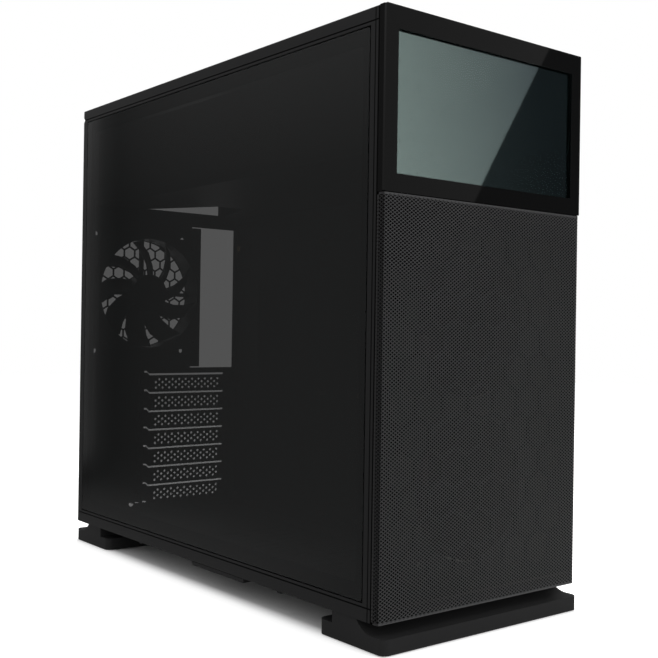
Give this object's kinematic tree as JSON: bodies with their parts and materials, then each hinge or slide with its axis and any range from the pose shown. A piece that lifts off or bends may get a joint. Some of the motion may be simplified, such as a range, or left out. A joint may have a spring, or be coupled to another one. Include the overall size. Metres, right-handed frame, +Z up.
{
  "type": "mid tower computer case",
  "caption": "Tall steel computer case with a smoked glass door, a mesh front below a glazed light panel, two bar feet and a fan, with no computer parts in it.",
  "frame": {"origin": "on the floor, under the middle of the whole case's box", "axes": "+X to the steel door side, -X to the glass side, -Y to the front, +Z up"},
  "size_m": [0.213, 0.4926, 0.451],
  "materials": {
    "chassis_steel": "fine textured black powder coat",
    "cover_steel": "smooth satin black powder coat",
    "black_plastic": "moulded, fine matt texture",
    "fan_plastic": "moulded, satin",
    "button_plastic": "moulded, satin",
    "jack_plastic": "moulded, gloss",
    "black_nylon": "moulded nylon",
    "mesh_steel": "perforated, black powder coat",
    "black_rubber": "moulded",
    "brass": "turned",
    "smoked_glass": "tempered, dark smoked",
    "window_glass": "flat, tinted, with a printed border",
    "screen_acrylic": "polished light guide with small dots",
    "light_strip": "light strip",
    "black_screw": "black oxide",
    "port_steel": "stamped",
    "filter_net": "fine nylon net"
  },
  "bodies": {
    "case": {"base_pan": "cover_steel", "top_cover": "cover_steel", "side_frame_left": "cover_steel", "side_frame_right": "cover_steel", "front_wall": "chassis_steel", "rear_panel": "chassis_steel", "slot_screws": "black_screw", "slot_screw_cover": "chassis_steel", "motherboard_tray": "chassis_steel", "tray_grommets": "black_rubber", "standoffs": "brass", "supply_bay": "chassis_steel", "drive_cage": "chassis_steel", "glass_clips": "black_nylon", "door_clips": "black_nylon", "fan_frame": "fan_plastic", "fan_bearing": "brass", "fan_screws": "black_screw", "front_foot": "black_plastic", "rear_foot": "black_plastic", "foot_pads": "black_rubber", "filter_rails": "chassis_steel", "control_housing": "black_plastic", "usb_ports": "port_steel", "usb_c_port": "port_steel", "audio_jacks": "jack_plastic", "slot_cover_1": "chassis_steel", "slot_cover_2": "chassis_steel", "slot_cover_3": "chassis_steel", "slot_cover_4": "chassis_steel", "slot_cover_5": "chassis_steel", "slot_cover_6": "chassis_steel", "slot_cover_7": "chassis_steel"},
    "glass_door": {"side_glass": "smoked_glass", "glass_carrier": "chassis_steel", "glass_studs": "black_screw"},
    "steel_door": {"steel_door": "cover_steel", "door_studs": "black_screw"},
    "front_panel": {"front_bezel": "black_plastic", "front_pins": "black_nylon", "window_glass": "window_glass", "front_mesh": "mesh_steel", "screen_panel": "screen_acrylic", "light_strip": "light_strip"},
    "fan_rotor": {"fan_rotor": "fan_plastic"},
    "power_button": {"power_button": "button_plastic"},
    "light_button": {"light_button": "button_plastic"},
    "dust_filter": {"filter_frame": "black_plastic", "filter_screen": "filter_net"}
  },
  "joints": [
    {"name": "glass_door_tilt", "type": "hinge", "parent": "case", "child": "glass_door", "pos_m": [-0.1065, 0, 0.0343], "axis": [0, -1, 0], "range_deg": [0, 30]},
    {"name": "steel_door_tilt", "type": "hinge", "parent": "case", "child": "steel_door", "pos_m": [0.1065, 0, 0.0343], "axis": [0, 1, 0], "range_deg": [0, 30]},
    {"name": "front_panel_pull", "type": "slide", "parent": "case", "child": "front_panel", "axis": [0, -1, 0], "range_m": [0, 0.04]},
    {"name": "fan_spin", "type": "hinge", "parent": "case", "child": "fan_rotor", "pos_m": [-0.0395, 0.2215, 0.2615], "axis": [0, 1, 0], "continuous": true},
    {"name": "power_press", "type": "slide", "parent": "case", "child": "power_button", "axis": [0, 0, -1], "range_m": [0, 0.0015], "stiffness_N_per_m": 300, "springref_m": -0.002},
    {"name": "light_press", "type": "slide", "parent": "case", "child": "light_button", "axis": [0, 0, -1], "range_m": [0, 0.0015], "stiffness_N_per_m": 300, "springref_m": -0.002},
    {"name": "filter_slide", "type": "slide", "parent": "case", "child": "dust_filter", "axis": [-1, 0, 0], "range_m": [0, 0.18]}
  ]
}
